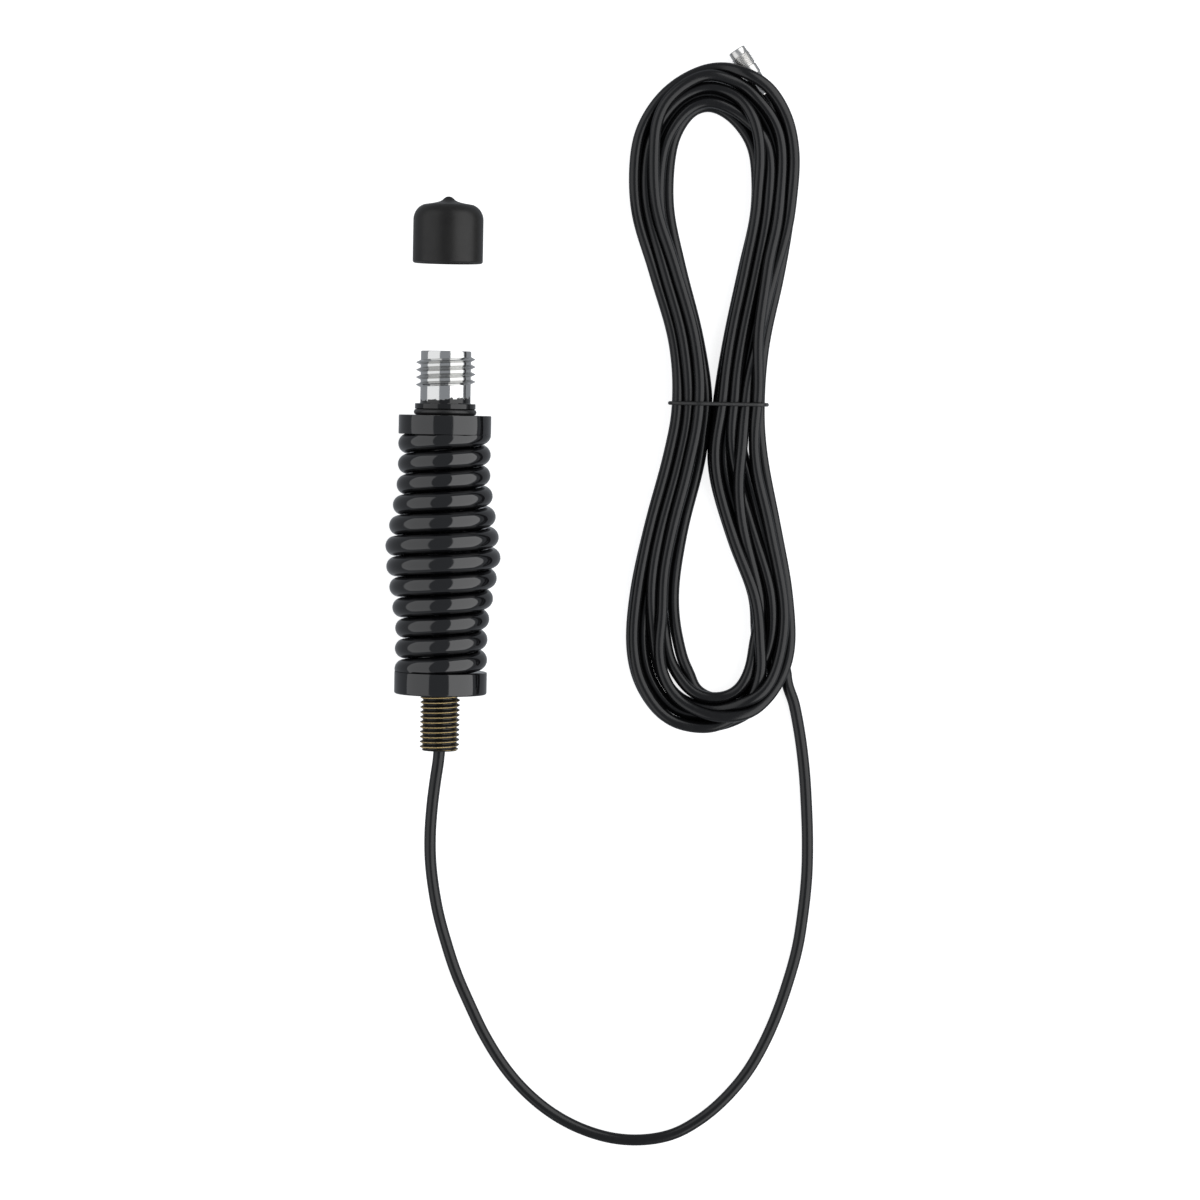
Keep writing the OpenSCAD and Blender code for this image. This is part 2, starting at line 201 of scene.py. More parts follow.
LAST_ROW = 7.3  # where the last turn leaves for the connector
TURN_RISE = 5.4
TIE_Y = 119.5
TIE_R = 0.8

# ---- Settling of the hank ----
LEAD_STEP = 2.4
DRAWN_STEP = 1.6
SETTLE_ROUNDS = 420
SINK_UNTIL = 0.6  # share of the rounds in which the turns sink fast
FAST_SINK = 0.35
SLOW_SINK = 0.04
STIFF_UNTIL = 0.85  # share of the rounds with the lead at its stiffest
PULL_BACK = 0.985  # share of a sideways shift that is left after each round
PUSH = 0.55
LIFT = 0.6
NEAR = 3.8 * LEAD_R
NEIGHBOURS = 6  # points along the lead that may be near each other
SMOOTHINGS = 3
END_POINTS = 20  # points at the connector's end that may touch it

# ---- Camera and light, in metres and degrees ----
CAMERA_TARGET = Vector((64.0, 39.3, 0)) * MM
CAMERA_DISTANCE = 1.66
CAMERA_PITCH = 2.8
CAMERA_ROLL = 1.10
CAMERA_LENS = 123
FLOOR_REACH = 12
BOX_LENGTH = 3.2
# Each soft box's (x, z) near the camera and at the floor, and its radiance
SOFT_BOXES = {
    "soft_box_right": ((0.42, 1.0), (1.6, 0.0), 1.65),
    "soft_box_left": ((-0.50, 1.0), (-1.6, 0.0), 0.85),
}

# ---- Mesh clean-up, in metres and degrees ----
WELD = 2e-6
SLIVER = 1e-7
SHARP = 32


# ================= Camera =================


def add_camera():
    """Looks down on the part from nearly overhead, with the antenna leaning a little to the right."""
    pitch, roll = math.radians(CAMERA_PITCH), math.radians(CAMERA_ROLL)
    back = Vector((0, math.sin(pitch), math.cos(pitch)))
    level_up = Vector((0, math.cos(pitch), -math.sin(pitch)))
    right = math.cos(roll) * Vector((1, 0, 0)) + math.sin(roll) * level_up
    up = -math.sin(roll) * Vector((1, 0, 0)) + math.cos(roll) * level_up
    data = bpy.data.cameras.new("camera")
    data.lens = CAMERA_LENS
    data.sensor_width = 36
    data.clip_end = 100
    camera = bpy.data.objects.new("camera", data)
    bpy.context.scene.collection.objects.link(camera)
    turn = Matrix((right, up, back)).transposed().to_4x4()
    camera.matrix_world = Matrix.Translation(CAMERA_TARGET + back * CAMERA_DISTANCE) @ turn
    bpy.context.scene.camera = camera


# ================= Materials =================


class Material:
    """A Principled material whose roughness and bump come from procedural nodes."""

    def __init__(self, name, colour, metallic=0.0, ior=1.5):
        self.data = bpy.data.materials.new(name)
        self.data.use_nodes = True
        self.data.diffuse_color = (*colour, 1)
        self.nodes = self.data.node_tree.nodes
        self.links = self.data.node_tree.links
        self.shader = self.nodes["Principled BSDF"]
        self.shader.inputs["Base Color"].default_value = (*colour, 1)
        self.shader.inputs["Metallic"].default_value = metallic
        self.shader.inputs["IOR"].default_value = ior
        self.place = self.nodes.new("ShaderNodeTexCoord").outputs["Object"]

    def fill(self, socket, value):
        """Gives an input a value or another node's output."""
        if isinstance(value, bpy.types.NodeSocket):
            self.links.new(value, socket)
        else:
            socket.default_value = value

    def node(self, kind, **inputs):
        """Adds a node, with its inputs by name, each a value or another node's output."""
        node = self.nodes.new(kind)
        for name, value in inputs.items():
            self.fill(node.inputs[name.replace("_", " ")], value)
        return node

    def noise(self, scale, detail=3, stretch=(1, 1, 1)):
        """Noise from 0 to 1 in the part's own space. Scale is in cycles a metre."""
        mapping = self.node("ShaderNodeMapping", Vector=self.place, Scale=stretch)
        texture = self.node(
            "ShaderNodeTexNoise", Vector=mapping.outputs["Vector"], Scale=scale, Detail=detail
        )
        return texture.outputs["Fac"]

    def scaled(self, value, from_low, from_high, to_low, to_high):
        """A value mapped from one range to another, and held inside it."""
        node = self.node(
            "ShaderNodeMapRange", Value=value, From_Min=from_low, From_Max=from_high,
            To_Min=to_low, To_Max=to_high,
        )
        return node.outputs["Result"]

    def combined(self, operation, a, b):
        """Two values put together by a Math node's operation."""
        node = self.node("ShaderNodeMath")
        node.operation = operation
        for socket, value in zip(node.inputs, (a, b)):
            self.fill(socket, value)
        return node.outputs[0]

    def length(self, vector):
        """A vector's length."""
        node = self.node("ShaderNodeVectorMath")
        node.operation = "LENGTH"
        self.fill(node.inputs[0], vector)
        return node.outputs["Value"]

    def rough(self, low, high, scale, stretch=(1, 1, 1)):
        """Roughness that wanders between two values."""
        value = self.scaled(self.noise(scale, stretch=stretch), 0.3, 0.7, low, high)
        self.links.new(value, self.shader.inputs["Roughness"])

    def bump(self, height, depth_mm, strength=1.0):
        """Bumps from a height between 0 and 1."""
        node = self.node(
            "ShaderNodeBump", Height=height, Distance=depth_mm * MM, Strength=strength
        )
        self.links.new(node.outputs["Normal"], self.shader.inputs["Normal"])

    def colours(self, factor, first, second):
        """Base colour that goes from first to second with a factor."""
        node = self.nodes.new("ShaderNodeMix")
        node.data_type = "RGBA"
        colour_a = [s for s in node.inputs if s.name == "A" and s.type == "RGBA"][0]
        colour_b = [s for s in node.inputs if s.name == "B" and s.type == "RGBA"][0]
        colour_a.default_value = (*first, 1)
        colour_b.default_value = (*second, 1)
        self.links.new(factor, node.inputs["Factor"])
        result = [s for s in node.outputs if s.type == "RGBA"][0]
        self.links.new(result, self.shader.inputs["Base Color"])


def black_enamel():
    """Thick gloss enamel, with a slight orange peel."""
    m = Material("black_enamel", (0.003, 0.003, 0.0035), ior=1.62)
    m.rough(0.05, 0.11, 60)
    m.bump(m.noise(260, detail=1), 0.012)
    return m.data


def stud_metal():
    """Blackened metal, with gold showing near the crest on the flanks that face the stud's end."""
    m = Material("stud_metal", (0.02, 0.018, 0.015), ior=1.36)
    normal = m.node("ShaderNodeNewGeometry").outputs["Normal"]
    along = m.node("ShaderNodeSeparateXYZ", Vector=normal).outputs["Y"]
    facing = m.scaled(along, -0.35, -0.7, 0, 1)
    place = m.node("ShaderNodeSeparateXYZ", Vector=m.place)
    across = m.node("ShaderNodeCombineXYZ", X=place.outputs["X"], Z=place.outputs["Z"])
    radius = m.length(across.outputs["Vector"])
    near_crest = m.scaled(radius, (STUD_R - 0.66) * MM, (STUD_R - 0.5) * MM, 0, 1)
    patches = m.scaled(m.noise(260, stretch=(1, 0.5, 1)), 0.32, 0.42, 0.2, 1)
    worn = m.combined("MULTIPLY", m.combined("MULTIPLY", facing, near_crest), patches)
    m.colours(worn, (0.006, 0.0055, 0.005), (0.98, 0.73, 0.34))
    m.links.new(m.scaled(worn, 0, 1, 0, 0.45), m.shader.inputs["Metallic"])
    m.rough(0.12, 0.26, 300)
    m.bump(m.noise(900), 0.01)
    return m.data


def ferrule_metal():
    """Bright turned metal, with black enamel on the flange that ends in a ragged edge."""
    bright, enamel = (0.64, 0.64, 0.63), (0.006, 0.006, 0.0065)
    enamel_top, tilt, raggedness = FLANGE_Y + 3.9, 0.075, 0.7
    m = Material("ferrule_metal", bright, metallic=1.0)
    parts = m.node("ShaderNodeSeparateXYZ", Vector=m.place)
    rise = m.combined("MULTIPLY", parts.outputs["X"], tilt)
    height = m.combined("SUBTRACT", parts.outputs["Y"], rise)
    ragged = m.scaled(m.noise(500, detail=5), 0.3, 0.7, -raggedness * MM, raggedness * MM)
    edge = m.combined("ADD", height, ragged)
    bare = m.scaled(edge, enamel_top * MM, (enamel_top + 0.3) * MM, 0, 1)
    m.colours(bare, enamel, bright)
    m.links.new(bare, m.shader.inputs["Metallic"])
    m.rough(0.06, 0.13, 200, stretch=(1, 12, 1))
    m.bump(m.noise(700, detail=2, stretch=(0.02, 9, 0.02)), 0.004, 0.6)
    return m.data


def plain(name, colour, rough, scale, depth_mm, metallic=0.0, ior=1.5):
    """A one-colour finish with fine texture."""
    m = Material(name, colour, metallic, ior)
    shade = tuple(c * 0.8 for c in colour)
    m.colours(m.scaled(m.noise(scale * 0.13), 0.35, 0.65, 0, 1), shade, colour)
    m.rough(*rough, scale * 0.3)
    m.bump(m.noise(scale), depth_mm)
    return m.data


def braid_metal():
    """Tinned braid: two sets of strands that cross."""
    m = Material("braid", (0.68, 0.62, 0.55), metallic=1.0)
    waves = []
    for slant in (1, -1):
        mapping = m.node("ShaderNodeMapping", Vector=m.place, Rotation=(0, slant * 0.6, 0.8))
        wave = m.node("ShaderNodeTexWave", Vector=mapping.outputs["Vector"], Scale=700)
        waves.append(wave.outputs["Fac"])
    m.rough(0.3, 0.5, 400)
    m.bump(m.combined("MAXIMUM", *waves), 0.05)
    return m.data


def make_materials():
    """Every material of the part, by its slot's name."""
    return {
        "black_enamel": black_enamel(),
        "stud_metal": stud_metal(),
        "ferrule_metal": ferrule_metal(),
        "ring_rubber": plain("ring_rubber", (0.012, 0.012, 0.012), (0.3, 0.42), 1500, 0.01),
        "cap_vinyl": plain(
            "cap_vinyl", (0.009, 0.0085, 0.008), (0.34, 0.42), 1100, 0.015, ior=1.38
        ),
        "jacket": plain("jacket", (0.004, 0.004, 0.0045), (0.20, 0.28), 1300, 0.008, ior=1.44),
        "nylon": plain("nylon", (0.82, 0.81, 0.76), (0.35, 0.5), 900, 0.01),
        "polyethylene": plain("polyethylene", (0.86, 0.86, 0.84), (0.3, 0.45), 900, 0.01),
        "contact_brass": plain(
            "contact_brass", (0.80, 0.58, 0.28), (0.16, 0.28), 1600, 0.006, metallic=1.0
        ),
        "copper": plain("copper", (0.8, 0.45, 0.28), (0.25, 0.4), 1600, 0.006, metallic=1.0),
        "braid": braid_metal(),
        "nickel_plate": plain(
            "nickel_plate", (0.74, 0.73, 0.71), (0.2, 0.34), 1400, 0.008, metallic=1.0
        ),
    }


# ================= Mesh tools =================


def shade(mesh, angle=SHARP):
    """Smooth shading, with edges over that many degrees left sharp."""
    mesh.shade_smooth()
    mesh.set_sharp_from_angle(angle=math.radians(angle))


def add_mesh(name, points, faces, material, body=None, replaces=None, sharp=SHARP):
    """Makes a closed mesh from points in millimetres. Points that coincide become one."""
    mesh = bpy.data.meshes.new(name)
    mesh.from_pydata([[c * MM for c in p] for p in points], [], [list(f) for f in faces])
    work = bmesh.new()
    work.from_mesh(mesh)
    bmesh.ops.remove_doubles(work, verts=work.verts, dist=WELD)
    bmesh.ops.dissolve_degenerate(work, edges=work.edges, dist=SLIVER)
    bmesh.ops.recalc_face_normals(work, faces=work.faces)
    work.to_mesh(mesh)
    work.free()
    shade(mesh, sharp)
    mesh.materials.append(MATERIALS[material])
    piece = bpy.data.objects.new(name, mesh)
    bpy.context.scene.collection.objects.link(piece)
    if body:
        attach(piece, body)
    if replaces:
        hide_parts(replaces)
    return piece


def ring_faces(rings, count, closed=False):
    """Faces between rings of the same number of points, ring after ring."""
    faces = []
    for i in range(rings if closed else rings - 1):
        a, b = i * count, (i + 1) % rings * count
        for j in range(count):
            k = (j + 1) % count
            faces.append((a + j, b + j, b + k, a + k))
    return faces


def turned(profile, segments=160):
    """Points and faces of a profile of (radius, y) turned round the Y axis."""
    angles = np.arange(segments) * 2 * math.pi / segments
    points = [(r * math.sin(a), y, r * math.cos(a)) for r, y in profile for a in angles]
    return points, ring_faces(len(profile), segments)


def arc(centre_r, centre_y, radius_r, radius_y, first, last, steps):
    """Points of an arc in a profile, in degrees from outwards towards +Y."""
    turns = [math.radians(first + (last - first) * i / steps) for i in range(steps + 1)]
    return [(centre_r + radius_r * math.cos(t), centre_y + radius_y * math.sin(t)) for t in turns]


def loop(profile):
    """A profile that ends where it starts."""
    return [*profile, profile[0]]


def join(*shapes):
    """Several shapes of points and faces as one."""
    points, faces = [], []
    for more_points, more_faces in shapes:
        base = len(points)
        points += list(more_points)
        faces += [tuple(base + i for i in face) for face in more_faces]
    return points, faces


def thread_skin(from_y, to_y, pitch, crest_y, root_r, ridge, height, cap, segments):
    """The outside of a right-handed thread, from one plain ring to another.

    crest_y is the middle of a crest at turn 0. ridge(share) is the ridge's height, from 0 to 1,
    at a share of the pitch from the crest. height(y, turns) is the ridge's full height there,
    with turns counted along the crest, and cap(y) the largest radius.
    """
    shares = np.linspace(-0.5, 0.5, 25)[:-1]
    first = math.floor((from_y - crest_y) / pitch) - 2
    last = math.ceil((to_y - crest_y) / pitch) + 2
    steps = [(turn, share) for turn in range(first, last) for share in shares]
    rows, shift = len(steps), len(shares)
    points, faces = [], []
    for j in range(segments):
        angle = 2 * math.pi * j / segments
        for turn, share in steps:
            turns = turn + j / segments
            y = min(max(crest_y + pitch * (turns + share), from_y), to_y)
            radius = min(root_r + height(y, turns) * ridge(abs(share)), cap(y))
            points.append((radius * math.sin(angle), y, radius * math.cos(angle)))
    for j in range(segments):
        wraps = j == segments - 1
        for i in range(rows - 1 - (shift if wraps else 0)):
            a = j * rows + i
            b = i + shift if wraps else (j + 1) * rows + i
            faces.append((a, b, b + 1, a + 1))
    return points, faces


def ramp(value, low, high):
    """0 below low, 1 above high, and smooth between."""
    t = min(max((value - low) / (high - low), 0), 1)
    return t * t * (3 - 2 * t)


def flat_ridge(crest, flank):
    """A ridge with a flat crest of that width and straight flanks, in shares of the pitch."""
    return lambda share: 1 - min(max((share - crest / 2) / flank, 0), 1)


# ================= Antenna =================


def build_bottom_collar():
    """Collar with a rounded lower edge, a spigot in the spring and a relief round the stud."""
    top = SPRING_BOTTOM
    profile = loop([
        (SEAT_RELIEF_R, 0), *arc(COLLAR_R - 0.8, 0.8, 0.8, 0.8, -90, 0, 8),
        (COLLAR_R, top - 0.3), (COLLAR_R - 0.1, top - 0.1), (COLLAR_R - 0.3, top),
        (SPIGOT_R, top), (SPIGOT_R, top + SPIGOT_REACH - 0.5),
        (SPIGOT_R - 0.5, top + SPIGOT_REACH), (STUD_SPIGOT_R, top + SPIGOT_REACH),
        (STUD_SPIGOT_R, SEAT_RELIEF), (SEAT_RELIEF_R, SEAT_RELIEF),
    ])
    points, faces = turned(profile)
    add_mesh("bottom_collar_turned", points, faces, "black_enamel", "base", "bottom_collar")


def build_stud():
    """M16 x 2 stud with a helical thread, a chamfered end and the seal's counterbore."""
    segments = 128
    root_r = STUD_R - THREAD_DEPTH * STUD_PITCH

    def height(y, turns):
        """The thread fades out under the collar."""
        return (STUD_R - root_r) * ramp(-y, 0.0, 0.5)

    def cap(y):
        """The chamfer at the stud's end."""
        return min(root_r + (y - STUD_END), STUD_R)

    skin = thread_skin(
        STUD_END, 0, STUD_PITCH, -STUD_PITCH / 2, root_r, flat_ridge(THREAD_CREST, THREAD_FLANK),
        height, cap, segments,
    )
    rest = turned([
        (root_r, 0), (STUD_SPIGOT_R, 0), (STUD_SPIGOT_R, STUD_TOP - 0.5),
        (STUD_SPIGOT_R - 0.5, STUD_TOP), (STUD_BORE_R, STUD_TOP),
        (STUD_BORE_R, STUD_END + SEAL_H), (SEAL_R, STUD_END + SEAL_H), (SEAL_R, STUD_END),
        (root_r, STUD_END),
    ], segments)
    points, faces = join(skin, rest)
    add_mesh("stud_threaded", points, faces, "stud_metal", "base", "mounting_stud")


def build_seal():
    """Rubber grommet with a domed lip round the lead."""
    profile = loop([
        (LEAD_R + LEAD_FIT, STUD_END), *arc(LEAD_R + 0.6, STUD_END, 0.55, 0.5, 180, 90, 6),
        (SEAL_R - 0.4, STUD_END + 0.5), (SEAL_R - 0.02, STUD_END + 0.8),
        (SEAL_R - 0.02, STUD_END + SEAL_H), (LEAD_R + LEAD_FIT, STUD_END + SEAL_H),
    ])
    points, faces = turned(profile, 96)
    add_mesh("seal_lipped", points, faces, "ring_rubber", "base", "cable_seal")


def coil_point(ring):
    """Height, turn in degrees and radius of the wire's centre, by steps of the coil."""
    y = SPRING_BOTTOM - GROUND_OFF + COIL_PITCH * ring / STEPS_A_TURN
    near = max(0, 1 - abs(y - SPRING_MIDDLE) / BELLY_HALF_LENGTH)
    return y, COIL_START + 360 / STEPS_A_TURN * ring, COLLAR_R - WIRE_R + BELLY_GROWTH * near


def wire_ring(ring, sides, side):
    """A ring of the wire, cut flat where the spring's end is ground. side is 1 in the lower half."""
    y, turn, radius = coil_point(ring)
    face = (SPRING_BOTTOM + SEAT_GAP - y) if side > 0 else (y - SPRING_TOP + SEAT_GAP)
    edge = math.asin(min(max(0, face / WIRE_R), 1))
    points = []
    for j in range(sides):
        around = (side * j * 2 * math.pi / sides) % (2 * math.pi)
        if around > math.pi:
            out = WIRE_R * math.cos(edge) * math.cos(around)
            rise = max(face, WIRE_R * math.sin(around))
        else:
            angle = edge + around * (math.pi - 2 * edge) / math.pi
            out, rise = WIRE_R * math.cos(angle), WIRE_R * math.sin(angle)
        rho = radius + out
        t = math.radians(turn)
        points.append((rho * math.sin(t), y + side * rise, rho * math.cos(t)))
    return points


def build_spring():
    """The coil in two halves, one on each side of the spring's middle."""
    sides, per_turn = 28, 72
    rings = np.linspace(0, COIL_TURNS * STEPS_A_TURN, round(COIL_TURNS * per_turn) + 1)
    middle = len(rings) // 2
    halves = [
        ("spring_lower", rings[: middle + 1], 1, "base", "spring", LOWER_BEND),
        ("spring_upper", rings[middle:], -1, "spring", "head", COIL_UPPER_BEND),
    ]
    for name, part, side, first, second, (start, end) in halves:
        points = [p for ring in part for p in wire_ring(ring, sides, side)]
        faces = ring_faces(len(part), sides)
        faces += [range(sides), range((len(part) - 1) * sides, len(part) * sides)]
        piece = add_mesh(name, points, faces, "black_enamel", replaces="barrel_spring", sharp=40)
        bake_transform(piece)


def build_top_collar():
    """Collar with eased edges and a spigot in the spring."""
    spigot_end = SPRING_TOP - SPIGOT_REACH
    profile = loop([
        (FERRULE_SPIGOT_R, spigot_end), (SPIGOT_R - 0.5, spigot_end),
        (SPIGOT_R, spigot_end + 0.5), (SPIGOT_R, SPRING_TOP),
        (COLLAR_R - 0.35, SPRING_TOP), (COLLAR_R - 0.13, SPRING_TOP + 0.1),
        (COLLAR_R - 0.05, SPRING_TOP + 0.32), (COLLAR_R - 0.05, COLLAR_TOP - 0.32),
        (COLLAR_R - 0.13, COLLAR_TOP - 0.1), (COLLAR_R - 0.35, COLLAR_TOP),
        (FERRULE_SPIGOT_R, COLLAR_TOP),
    ])
    points, faces = turned(profile)
    add_mesh("top_collar_turned", points, faces, "black_enamel", "head", "top_collar")


def build_o_ring():
    """Ring that fills the gap between the top collar and the ferrule's flange."""
    radius = (FLANGE_Y - COLLAR_TOP) / 2
    profile = arc(NECK_R + radius, COLLAR_TOP + radius, radius, radius, 0, 360, 32)
    points, faces = turned(profile)
    add_mesh("o_ring_moulded", points, faces, "ring_rubber", "head", "o_ring")


def build_ferrule():
    """Ferrule with its flange, neck and M24 x 3 helical thread, and a bore in two steps."""
    segments = 160
    bottom = low_y("ferrule")
    thread_from, thread_to = TIP_Y - 15.4, TIP_Y - 1.8
    top_crest = TIP_Y - 4.0
    socket_end = TIP_Y - SOCKET_DEPTH

    def height(y, turns):
        """The thread fades in and out over part of a turn."""
        return (WHIP_R - NECK_R) * ramp(turns, *WHIP_RUN_IN) * (1 - ramp(turns, *WHIP_RUN_OUT))

    skin = thread_skin(
        thread_from, thread_to, WHIP_PITCH, top_crest, NECK_R,
        flat_ridge(WHIP_CREST, WHIP_FLANK), height, lambda y: WHIP_R, segments,
    )
    flange_top = FLANGE_Y + FLANGE_H
    below = turned([
        (INSULATOR_R, socket_end), (INSULATOR_R, bottom), (FERRULE_SPIGOT_R - 0.4, bottom),
        (FERRULE_SPIGOT_R, bottom + 0.4), (FERRULE_SPIGOT_R, COLLAR_TOP), (NECK_R, COLLAR_TOP),
        (NECK_R, FLANGE_Y), *arc(FLANGE_R - 0.25, FLANGE_Y + 0.25, 0.25, 0.25, -90, 0, 5),
        *arc(FLANGE_R - 0.25, flange_top - 0.25, 0.25, 0.25, 0, 90, 5),
        (NECK_R + 0.3, flange_top), (NECK_R, flange_top + 0.3), (NECK_R, thread_from),
    ], segments)
    above = turned([
        (NECK_R, thread_to), (NECK_R, TIP_Y - 0.4), (NECK_R - 0.12, TIP_Y - 0.12),
        (NECK_R - 0.4, TIP_Y), (SOCKET_R + 0.4, TIP_Y), (SOCKET_R, TIP_Y - 0.4),
        (SOCKET_R, socket_end), (INSULATOR_R, socket_end),
    ], segments)
    points, faces = join(skin, below, above)
    add_mesh("ferrule_threaded", points, faces, "ferrule_metal", "head", "ferrule")


def build_cap():
    """Dip-moulded cap: a rounded rim, a soft shoulder and the drip's nub on top."""
    rim, shoulder, rise, skirt = 1.0, 6.0, 6.5, 17.4  # heights are from the rim
    outside = [
        *arc(CAP_R - rim, rim, rim, rim, -90, 0, 8),
        (CAP_R, 6), (CAP_R, 12),
        *arc(CAP_R - shoulder, skirt, shoulder, rise, 0, 72, 14),
        (6.6, CAP_H - 2.75), (4.6, CAP_H - 2.3), (3.3, CAP_H - 1.85), (2.5, CAP_H - 1.35),
        (1.9, CAP_H - 0.75), (1.2, CAP_H - 0.25), (0.6, CAP_H - 0.05), (0, CAP_H),
    ]
    inside = [
        (0, CAP_ROOF), (4, CAP_ROOF), (CAP_INNER_R - 3, 22.6), (CAP_INNER_R - 0.8, 21.2),
        (CAP_INNER_R, 19), (CAP_INNER_R, 0.5), (CAP_INNER_R + 0.35, 0),
        (CAP_R - rim, 0),
    ]
    profile = [(r, CAP_RIM + y) for r, y in outside + inside]
    points, faces = turned(profile)
    add_mesh("cap_moulded", points, faces, "cap_vinyl", "cap", "protective_cap")


def build_inner_coax():
    """The lead's run through the stud and the spring, in two halves split at the spring's middle like
    the coil.
    """
    halves = [
        ("inner_coax_lower", STUD_END, SPRING_MIDDLE, "base", "spring", LOWER_BEND),
        ("inner_coax_upper", SPRING_MIDDLE, INNER_COAX_END, "spring", "head", COAX_UPPER_BEND),
    ]
    for name, low, high, first, second, (start, end) in halves:
        steps = np.linspace(low, high, 41)
        profile = [(0, low), *[(LEAD_R, y) for y in steps], (0, high)]
        points, faces = turned(profile, 32)
        piece = add_mesh(name, points, faces, "jacket", replaces="inner_coax")
        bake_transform(piece)


# ================= Connector =================


def at_connector(points):
    """Moves points drawn along Y, with the open end at y = 0, onto the connector's axis."""
    across = np.array([CONNECTOR_AXIS[1], -CONNECTOR_AXIS[0], 0])
    up = np.array([0, 0, 1])
    return [CONNECTOR_TIP + p[0] * across + p[1] * CONNECTOR_AXIS + p[2] * up for p in points]


def build_connector():
    """The connector's threaded shell and the crimp sleeve behind it."""
    segments = 96
    thread_to = -CONNECTOR_NOSE
    thread_from = thread_to - CONNECTOR_THREAD
    root_r = CONNECTOR_R - THREAD_DEPTH * CONNECTOR_PITCH
    nose_r = CONNECTOR_R - 0.45
    body_r = CONNECTOR_R - 0.3

    def height(y, turns):
        """The thread fades out at both ends."""
        inside = ramp(y, thread_from, thread_from + 0.3) * ramp(thread_to - y, 0, 0.3)
        return (CONNECTOR_R - root_r) * inside

    skin = thread_skin(
        thread_from, thread_to, CONNECTOR_PITCH, thread_to - 0.4, root_r,
        flat_ridge(THREAD_CREST, THREAD_FLANK), height, lambda y: CONNECTOR_R, segments,
    )
    rest = turned([
        (root_r, thread_to), (nose_r, thread_to + 0.1), (nose_r, -0.3), (nose_r - 0.3, 0),
        (CONNECTOR_BORE_R + 0.2, 0), (CONNECTOR_BORE_R, -0.2),
        (CONNECTOR_BORE_R, -CONNECTOR_SHELL), (body_r - 0.3, -CONNECTOR_SHELL),
        (body_r, -CONNECTOR_SHELL + 0.3), (body_r, thread_from - 0.6),
        (CONNECTOR_R - 0.7, thread_from - 0.3), (CONNECTOR_R - 0.7, thread_from),
        (root_r, thread_from),
    ], segments)
    points, faces = join(skin, rest)
    shell = add_mesh(
        "connector_threaded", at_connector(points), faces, "nickel_plate",
        "base", "connector_shell",
    )
    points, faces = turned(crimp_profile(), segments)
    crimp = add_mesh(
        "crimp_sleeve", at_connector(crimped(points)), faces, "nickel_plate",
        "base", "connector_crimp",
    )
    return [shell, crimp]


def crimp_profile():
    """A plain sleeve round the lead, with rings enough to be pressed."""
    back = -CONNECTOR_REACH
    steps = np.linspace(back + 0.4, -CONNECTOR_SHELL - 0.3, 25)
    return loop([
        (LEAD_R + LEAD_FIT, back), (CRIMP_R - 0.3, back), *[(CRIMP_R, y) for y in steps],
        (CRIMP_R - 0.2, -CONNECTOR_SHELL), (LEAD_R + LEAD_FIT, -CONNECTOR_SHELL),
    ])


def crimped(points):
    """Presses a hexagon into the middle of the crimp sleeve."""
    middle = -CONNECTOR_SHELL - CRIMP_LENGTH / 2
    pressed = []
    for x, y, z in points:
        r = math.hypot(x, z)
        if r > LEAD_R + 0.3:
            t = (math.atan2(x, z) + math.pi / 6) % (math.pi / 3) - math.pi / 6
            flat = 0.93 * CRIMP_R / math.cos(t)
            share = 1 - ramp(abs(y - middle), 2.2, 3.0)
            scale = 1 + share * (min(r, flat) / r - 1)
            x, z = x * scale, z * scale
        pressed.append((x, y, z))
    return pressed


# ================= Lead =================


def curve_through(a, b, c, d, t):
    """The point a share t of the way from b to c, on a smooth line through four points."""
    return 0.5 * (
        2 * b + (c - a) * t + (2 * a - 5 * b + 4 * c - d) * t**2 + (3 * b - a - 3 * c + d) * t**3
    )


def through(values, at):
    """A smooth line through rows of values, at places counted in rows. Its ends meet."""
    count = len(values)
    row = np.floor(at).astype(int)
    return curve_through(
        *(values[(row + k) % count] for k in (-1, 0, 1, 2)), (at - row)[:, None]
    )


def between(stations, values, at):
    """A smooth curve through values at uneven stations."""
    slopes = np.gradient(values, stations)
    i = np.clip(np.searchsorted(stations, at) - 1, 0, len(stations) - 2)
    gap = stations[i + 1] - stations[i]
    t = (at - stations[i]) / gap
    return (
        (2 * t**3 - 3 * t**2 + 1) * values[i] + (t**3 - 2 * t**2 + t) * gap * slopes[i]
        + (3 * t**2 - 2 * t**3) * values[i + 1] + (t**3 - t**2) * gap * slopes[i + 1]
    )


def hank_line():
    """The turns' way round the hank, each above the one before, as rows for lead_line."""
    rows = len(HANK_OUTLINE)
    turns = len(TURN_LANES)
    stations = np.array([rows * turn + row for turn in range(turns) for row in LANE_ROWS])
    stations = np.r_[stations, rows * turns + np.array([0, LAST_ROW])]
    lanes = np.r_[np.ravel(TURN_LANES), 0, 0]
    at = np.arange(FIRST_ROW, stations[-1], 0.2)
    lane = np.clip(between(stations, lanes, at), 0, 1)
    outline = through(HANK_OUTLINE, at)
    ahead = through(HANK_OUTLINE, at + 0.05)[:, :2] - through(HANK_OUTLINE, at - 0.05)[:, :2]
    ahead /= np.linalg.norm(ahead, axis=1)[:, None]
    out = np.c_[ahead[:, 1], -ahead[:, 0]]
    spread = outline[:, 2] - 2 * LEAD_R
    depth = lane * spread
    place = outline[:, :2] - out * (LEAD_R + depth)[:, None]
    last_rise = (at - rows * turns) / 2
    level = TURN_RISE * at / rows * (1 - np.clip(last_rise, 0, 1))
    return np.c_[place, LEAD_Z + level, np.ones(len(at)), out, depth, spread]


